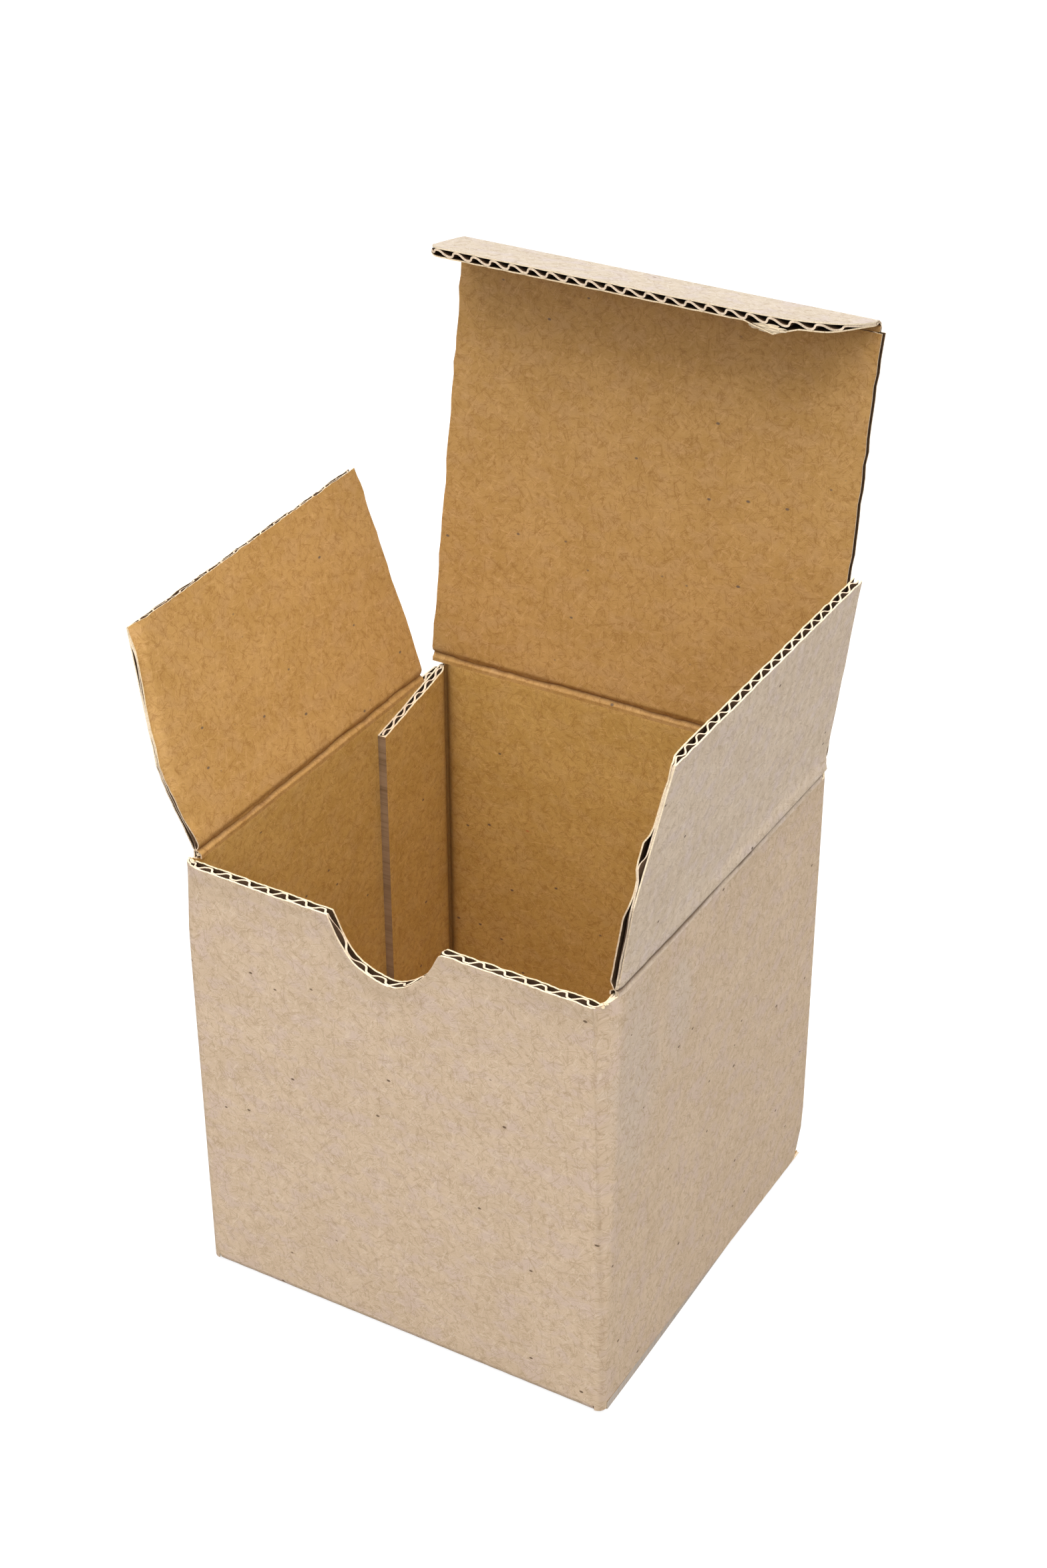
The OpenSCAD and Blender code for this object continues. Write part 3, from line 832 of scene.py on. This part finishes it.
class Nodes:
    """Short names for building a material."""

    def __init__(self, name):
        self.material = bpy.data.materials.new(name)
        self.material.use_nodes = True
        self.tree = self.material.node_tree
        self.shader = self.tree.nodes["Principled BSDF"]
        self.flat = self.new("ShaderNodeAttribute", attribute_name="flat").outputs["Vector"]
        # fold: the painted shade of the creases and folds
        self.fold = self.new("ShaderNodeAttribute", attribute_name="fold").outputs["Fac"]

    def new(self, kind, inputs=(), **settings):
        node = self.tree.nodes.new(kind)
        for key, value in settings.items():
            setattr(node, key, value)
        for key, value in dict(inputs).items():
            self.set(node.inputs[key], value)
        return node

    def set(self, socket, value):
        if isinstance(value, bpy.types.NodeSocket):
            self.tree.links.new(value, socket)
        else:
            socket.default_value = value

    def math(self, operation, x, y=0.0, z=0.0):
        node = self.new("ShaderNodeMath", operation=operation)
        for socket, value in zip(node.inputs, (x, y, z)):
            self.set(socket, value)
        return node.outputs[0]

    def scaled(self, scale, angle=0.0, shift=0.0):
        """The flat sheet's coordinates, turned and scaled."""
        node = self.new("ShaderNodeMapping", {"Vector": self.flat}, vector_type="TEXTURE")
        node.inputs["Rotation"].default_value = (0, 0, math.radians(angle))
        node.inputs["Scale"].default_value = (scale[0], scale[1], 50.0)
        node.inputs["Location"].default_value = (shift, shift * 0.7, 0)
        return node.outputs[0]

    def noise(self, scale, angle=0.0, shift=0.0, detail=2.0, rough=0.5, distort=0.0):
        """Noise from 0 to 1 whose patches are about scale millimetres in size."""
        node = self.new(
            "ShaderNodeTexNoise",
            {"Vector": self.scaled(scale, angle, shift), "Scale": 1.0, "Detail": detail,
             "Roughness": rough, "Distortion": distort},
        )
        return node.outputs["Fac"]

    def ramp(self, value, low, high, low_value=0.0, high_value=1.0):
        node = self.new(
            "ShaderNodeMapRange",
            {"Value": value, "From Min": low, "From Max": high,
             "To Min": low_value, "To Max": high_value},
            interpolation_type="SMOOTHSTEP",
        )
        return node.outputs["Result"]

    def fibres(self, size, angle, shift, width, share):
        """Thin curved lines, kept only where a second noise is high."""
        lines = self.noise(size, angle, shift, detail=1.0, distort=0.12)
        off = self.math("ABSOLUTE", self.math("SUBTRACT", lines, 0.5))
        line = self.ramp(off, 0.0, width, 1.0, 0.0)
        where = self.noise((size[0] * 0.8, size[1] * 2.2), angle, shift + 31.0, detail=0.0)
        return self.math("MULTIPLY", line, self.ramp(where, 1 - share, 1.06 - share))

    def specks(self, size, shift, share, radius):
        """Small marks, each in its own cell, of which only a share is kept."""
        cells = self.new("ShaderNodeTexVoronoi", {"Vector": self.scaled(size, 0, shift), "Scale": 1.0})
        dot = self.ramp(cells.outputs["Distance"], radius * 0.5, radius, 1.0, 0.0)
        pick = self.new("ShaderNodeSeparateColor", {"Color": cells.outputs["Color"]}).outputs[0]
        return self.math("MULTIPLY", dot, self.ramp(pick, 1 - share, 1.001 - share))

    def zone(self, middle, size, ragged):
        """1 in the middle of an oval on the flat sheet and 0 outside it, with a ragged rim."""
        parts = self.new("ShaderNodeSeparateXYZ", {"Vector": self.flat}).outputs
        across = self.math("DIVIDE", self.math("SUBTRACT", parts[0], middle[0]), size[0])
        up = self.math("DIVIDE", self.math("SUBTRACT", parts[1], middle[1]), size[1])
        squares = self.math("MULTIPLY_ADD", across, across, self.math("MULTIPLY", up, up))
        spread = self.math("MULTIPLY_ADD", ragged, 2.4, self.math("SUBTRACT", squares, 1.2))
        return self.ramp(spread, 1.2, 0.0)

    def ribs(self):
        """1 over the hollow of each flute and 0 between them."""
        across = self.new("ShaderNodeSeparateXYZ", {"Vector": self.flat}).outputs[0]
        turn = self.math("MULTIPLY", across, 2 * math.pi / PITCH)
        return self.math("MULTIPLY_ADD", self.math("COSINE", turn), -0.5, 0.5)

    def mix(self, factor, first, second):
        node = self.new("ShaderNodeMix", data_type="RGBA", clamp_factor=True)
        for index, value in ((0, factor), (6, first), (7, second)):
            self.set(node.inputs[index], value)
        return node.outputs[2]

    def bump(self, height, strength, distance):
        node = self.new("ShaderNodeBump", {"Height": height, "Strength": strength, "Distance": distance})
        self.set(self.shader.inputs["Normal"], node.outputs["Normal"])


def colour(red, green, blue):
    return (red, green, blue, 1.0)


def liner(name, tones, rib=0.15, roughness=0.75, sheen=0.3, specks=0.05, rubbed=()):
    """Kraft liner paper: clouds of tone, pinkish patches, a felt of fine fibres and a few loose ones.

    rubbed lists the zones of painted grey highlight, by their middles and half sizes.
    """
    base, pale, deep, blush, dark, light, crease = tones
    n = Nodes(name)
    clouds = n.noise((11.0, 8.0), detail=3.0, rough=0.55)
    patches = n.noise((4.6, 3.4), shift=19.0, detail=2.0)
    mottle = n.noise((1.5, 0.8), shift=3.0, detail=3.0, rough=0.65)
    tone = n.mix(n.ramp(clouds, 0.35, 0.65), base, pale)
    tone = n.mix(n.ramp(patches, 0.46, 0.66, 0.0, 0.8), tone, blush)
    tone = n.mix(n.ramp(mottle, 0.42, 0.75, 0.0, 0.3), tone, deep)
    # Painted grey highlight over the listed zones
    for middle, size in rubbed:
        tone = n.mix(n.math("MULTIPLY", n.zone(middle, size, patches), 0.42), tone, RUBBED)
    # Painted shade over the hollow of each flute, uneven across the sheet
    uneven = n.ramp(n.noise((30.0, 14.0), shift=47.0, detail=1.0), 0.3, 0.7, 0.3, 1.0)
    ribs = n.math("MULTIPLY", n.ribs(), uneven)
    tone = n.mix(n.math("MULTIPLY", ribs, rib), tone, deep)
    felt = n.noise((0.36, 0.13), 14, 7.0, detail=2.0, rough=0.75, distort=0.5)
    tone = n.mix(n.ramp(felt, 0.5, 0.85, 0.0, 0.5), tone, dark)
    tone = n.mix(n.ramp(felt, 0.5, 0.2, 0.0, 0.4), tone, light)
    for angle, shift in ((14, 11.0), (-30, 23.0), (46, 41.0), (95, 57.0), (-58, 67.0)):
        fibres = n.fibres((3.0, 0.38), angle, shift, 0.06, 0.45)
        tone = n.mix(n.math("MULTIPLY", fibres, 0.55), tone, dark)
    for angle, shift in ((-8, 71.0), (62, 83.0)):
        fibres = n.fibres((2.6, 0.36), angle, shift, 0.06, 0.42)
        tone = n.mix(n.math("MULTIPLY", fibres, 0.45), tone, light)
    tone = n.mix(n.specks((2.3, 1.4), 5.0, specks, 0.2), tone, colour(0.16, 0.1, 0.06))
    tone = n.mix(n.specks((15.0, 7.0), 9.0, 0.05, 0.05), tone, colour(0.5, 0.07, 0.04))
    # Painted shade in the creases and folds, as strong as the fold attribute
    tone = n.mix(n.fold, tone, crease)
    n.set(n.shader.inputs["Base Color"], tone)
    n.shader.inputs["Roughness"].default_value = roughness
    n.shader.inputs["Specular IOR Level"].default_value = sheen
    height = n.math("ADD", n.math("MULTIPLY", felt, 0.7), n.math("MULTIPLY", mottle, 0.6))
    n.bump(height, 0.4, 0.00012)
    return n.material


def torn_paper(name, base, deep, scale):
    """The fuzzy cut edge of a ply."""
    base, deep = colour(*base), colour(*deep)
    n = Nodes(name)
    grain = n.noise((scale, scale), detail=3.0, rough=0.7)
    patches = n.noise((2.5, 2.5), shift=13.0, detail=1.0)
    tone = n.mix(n.ramp(grain, 0.4, 0.75), base, deep)
    tone = n.mix(n.ramp(patches, 0.5, 0.8, 0.0, 0.5), tone, deep)
    n.set(n.shader.inputs["Base Color"], tone)
    n.shader.inputs["Roughness"].default_value = 0.9
    n.shader.inputs["Specular IOR Level"].default_value = 0.15
    n.bump(grain, 0.6, 0.00008)
    return n.material


def toned(tones, red=1.0, green=1.0, blue=1.0):
    """The tones of a paper, made lighter or darker."""
    return [colour(r * red, g * green, b * blue) for r, g, b in tones]


# The tones of each paper: base, pale, deep, blush, dark, light and the painted shade of its creases and
# folds
OUTSIDE_TONES = (
    (0.615, 0.462, 0.318), (0.665, 0.505, 0.355), (0.55, 0.405, 0.265), (0.63, 0.48, 0.392),
    (0.44, 0.305, 0.185), (0.76, 0.62, 0.47), (0.13, 0.075, 0.04),
)
INSIDE_TONES = (
    (0.43, 0.24, 0.07), (0.48, 0.275, 0.09), (0.36, 0.192, 0.05), (0.46, 0.265, 0.1),
    (0.3, 0.145, 0.038), (0.59, 0.35, 0.14), (0.15, 0.062, 0.018),
)
# Colour of the painted grey highlight in the upper front part of the right wall
RUBBED = colour(0.6, 0.52, 0.46)
RIGHT_WALL_A = FLAT_SHIFT + RING.starts[RIGHT] + FLAT_Y

OUTSIDE = liner("kraft_outside", toned(OUTSIDE_TONES))
OUTSIDE_WALLS = liner(
    "kraft_outside_walls", toned(OUTSIDE_TONES),
    rubbed=(((RIGHT_WALL_A - 29, 62), (8, 20)), ((RIGHT_WALL_A - 15, 66), (5, 11))),
)
# The right flap's outside paper is a lighter, greyer copy: a painted cool sheen, with stronger painted
# shade over its flutes
OUTSIDE_RIGHT = liner(
    "kraft_outside_right_flap", toned(OUTSIDE_TONES, 1.13, 1.2, 1.31),
    rib=0.5, roughness=0.7, sheen=0.35, specks=0.03,
)
# The tuck flap's outside paper is a darker, greyer copy: painted shade against the overhead lamp on its
# top, greyed as a painted sheen
OUTSIDE_TUCK = liner("kraft_outside_tuck", toned(OUTSIDE_TONES, 0.76, 0.85, 0.97), rib=0.1, specks=0.03)
INSIDE = liner("kraft_inside", toned(INSIDE_TONES), roughness=0.6, specks=0.06)
# The walls' inside paper is a lighter copy of the inside paper: painted light that brightens the shaded
# inside of the carton
INSIDE_WALLS = liner(
    "kraft_inside_walls", toned(INSIDE_TONES, 1.23, 1.33, 1.25), roughness=0.6, specks=0.04,
)
# Nearly black: painted shade in the flutes, on the liners' faces that meet the medium
PLY = torn_paper("ply_inside", (0.08, 0.045, 0.022), (0.05, 0.028, 0.014), 0.6)
CUT = torn_paper("cut_liner", (0.8, 0.68, 0.5), (0.62, 0.48, 0.31), 0.25)
CUT_INNER = torn_paper("cut_inner_liner", (0.78, 0.64, 0.44), (0.56, 0.4, 0.23), 0.25)
SIDE_CUT = torn_paper("side_cut", (0.68, 0.54, 0.39), (0.44, 0.32, 0.2), 0.4)
SIDE_CUT_INNER = torn_paper("inner_side_cut", (0.68, 0.52, 0.36), (0.44, 0.31, 0.19), 0.4)
TAB_CUT = torn_paper("tab_cut", (0.38, 0.265, 0.165), (0.22, 0.145, 0.08), 0.8)
# Pale and grey: painted light on the bottom panel's cut sides, lifting them out of the shade under the
# side folds as a painted reflection of the floor
BOTTOM_CUT = torn_paper("bottom_cut", (0.58, 0.49, 0.41), (0.46, 0.4, 0.35), 0.8)
# Nearly black: painted shade on the medium inside the flutes
MEDIUM = torn_paper("medium", (0.12, 0.07, 0.04), (0.08, 0.045, 0.025), 0.6)
CUT_MEDIUM = torn_paper("cut_medium", (0.74, 0.6, 0.45), (0.56, 0.42, 0.29), 0.3)


# The pieces; the carton's own and the torn bits go on bodies

def stand_for(boards, node, body):
    pieces = [piece for board in boards for piece in board.plies()]
    for piece in pieces:
        "kraft_inside" if "inner" in piece.name else "kraft_board"
        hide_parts(node)
        if body:
            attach(piece, body)
    return pieces


def bend_with(pieces, hinge, reach):
    """Bakes each piece's place into its mesh; the crease band's two ends are worked out, but nothing uses
    them.
    """
    middle = hinge.axis * MM
    ahead = (hinge.up + hinge.ahead) / np.linalg.norm(hinge.up + hinge.ahead)
    start, end = middle - ahead * reach * MM, middle + ahead * reach * MM
    for piece in pieces:
        tuple(start)
        tuple(end)
        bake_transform(piece)


body_boards = [carton_walls(), bottom_panel(), bottom_dust_flap(-1, 3), bottom_dust_flap(1, 4)]
stand_for(body_boards, "carton_body", "carton")

lid_hinge, lid = lid_board()
bend_with(stand_for([lid], "lid", None), lid_hinge, 1.1)
tuck_hinge, tuck = tuck_board(lid_hinge)
bend_with(stand_for([tuck], "tuck_flap", None), tuck_hinge, 0.5)
left_hinge, left_flap = dust_flap_board(-1, LEFT_LEAN, LEFT_BACK_Y, LEFT_BACK_SPREAD, LEFT_RISE, 8)
bend_with(stand_for([left_flap], "left_dust_flap", None), left_hinge, 1.0)
# The right flap's crease line carries a deeper, wider painted shade
right_hinge, right_flap = dust_flap_board(
    1, RIGHT_LEAN, RIGHT_BACK_Y, 0.0, RIGHT_RISE, 9, crack=0.45, crack_dark=1.0, crack_width=0.46,
    outside=OUTSIDE_RIGHT, ribs=0.035, bow=right_flap_bow, open_from=12.0,
)
bend_with(stand_for([right_flap], "right_dust_flap", None), right_hinge, 1.1)
torn_bit("corner_tuft", (36.5, -36.3, 79.3), (0.42, 0.34, 0.28), 3)
torn_bit("corner_tuft_low", (36.3, -36.7, 78.9), (0.3, 0.3, 0.3), 4)
torn_bit("root_tuft", (-37.2, -33.9, 80.3), (0.4, 0.45, 0.32), 5)
torn_point = tuck_hinge.place(*np.array([23.8, TUCK_REACH - 0.35, BOARD_T + 0.42])[:, None])[0]
torn_bit("torn_ply", tuple(torn_point), (2.9, 0.2, 0.62), 6, "tuck_flap", "tuck")


# Floor, light and camera
FLOOR_GLOW = 0.8

def white_where_seen(name, albedo):
    """A pale floor that the camera sees as white, apart from the object's shadow."""
    material = bpy.data.materials.new(name)
    material.use_nodes = True
    nodes, links = material.node_tree.nodes, material.node_tree.links
    nodes.clear()
    output = nodes.new("ShaderNodeOutputMaterial")
    diffuse = nodes.new("ShaderNodeBsdfDiffuse")
    diffuse.inputs["Color"].default_value = (albedo, albedo, albedo, 1)
    glow = nodes.new("ShaderNodeEmission")
    path = nodes.new("ShaderNodeLightPath")
    seen = nodes.new("ShaderNodeMath")
    seen.operation = "MULTIPLY"
    seen.inputs[1].default_value = FLOOR_GLOW
    links.new(path.outputs["Is Camera Ray"], seen.inputs[0])
    links.new(seen.outputs[0], glow.inputs["Strength"])
    both = nodes.new("ShaderNodeAddShader")
    links.new(diffuse.outputs[0], both.inputs[0])
    links.new(glow.outputs[0], both.inputs[1])
    links.new(both.outputs[0], output.inputs["Surface"])
    return material


def floor():
    mesh = bpy.data.meshes.new("floor")
    size = 3.0
    corners = [(-size, -size, 0), (size, -size, 0), (size, size, 0), (-size, size, 0)]
    mesh.from_pydata(corners, [], [(0, 1, 2, 3)])
    mesh.materials.append(white_where_seen("pale_floor", 0.28))
    piece = placed("floor", mesh)
    piece.location.z = -0.0001


def world_light(strength):
    world = bpy.data.worlds.new("studio")
    bpy.context.scene.world = world
    world.use_nodes = True
    nodes, links = world.node_tree.nodes, world.node_tree.links
    background = nodes["Background"]
    background.inputs["Color"].default_value = (1, 1, 1, 1)
    path = nodes.new("ShaderNodeLightPath")
    level = nodes.new("ShaderNodeMapRange")
    level.inputs["To Min"].default_value = strength
    level.inputs["To Max"].default_value = 1.0
    links.new(path.outputs["Is Camera Ray"], level.inputs["Value"])
    links.new(level.outputs["Result"], background.inputs["Strength"])


def lamp(name, kind, power, direction, place=(0, 0, 0)):
    """A lamp at a place, whose light comes from direction."""
    light = bpy.data.lights.new(name, kind)
    light.energy = power
    piece = placed(name, light)
    piece.location = place
    piece.rotation_mode = "QUATERNION"
    piece.rotation_quaternion = Vector(direction).to_track_quat("Z", "Y")
    return light


def sun(name, direction, strength, spread):
    lamp(name, "SUN", strength, direction).angle = math.radians(spread)


def front_panel(place, size, power):
    """A soft panel of light, aimed at the middle of the carton."""
    lamp("front_panel", "AREA", power, Vector(place) - Vector((0, 0, 0.06)), place).size = size


def photo_camera():
    """The camera fitted to the photograph's edges: view angles, focal length in pixels and place."""
    azimuth, elevation, roll = math.radians(30.08), math.radians(31.13), math.radians(-0.22)
    focal_px, long_side_px, sensor_mm = 3894.0, 2349.0, 36.0
    shift_right, shift_up, distance = 1.43, 73.95, 458.2
    view = Vector((
        -math.sin(azimuth) * math.cos(elevation),
        math.cos(azimuth) * math.cos(elevation),
        -math.sin(elevation),
    ))
    right = view.cross(Vector((0, 0, 1))).normalized()
    up = right.cross(view)
    right, up = (
        right * math.cos(roll) + up * math.sin(roll),
        up * math.cos(roll) - right * math.sin(roll),
    )
    data = bpy.data.cameras.new("camera")
    data.sensor_width = sensor_mm
    data.lens = focal_px / long_side_px * sensor_mm
    data.clip_start, data.clip_end = 0.01, 20.0
    camera = placed("camera", data)
    place = (right * shift_right + up * shift_up - view * distance) * MM
    turn = Matrix((right, up, -view)).transposed().to_4x4()
    camera.matrix_world = Matrix.Translation(place) @ turn
    bpy.context.scene.camera = camera


floor()
world_light(0.3)
sun("overhead", (0.0, -0.05, 1.0), 4.2, 80)
sun("right", (0.55, -0.6, 0.85), 1.0, 70)
sun("side", (0.95, -0.35, 0.3), 0.45, 70)
front_panel((-0.16, -0.34, 0.26), 0.2, 0.33)
photo_camera()
bpy.context.scene.view_settings.view_transform = "Standard"
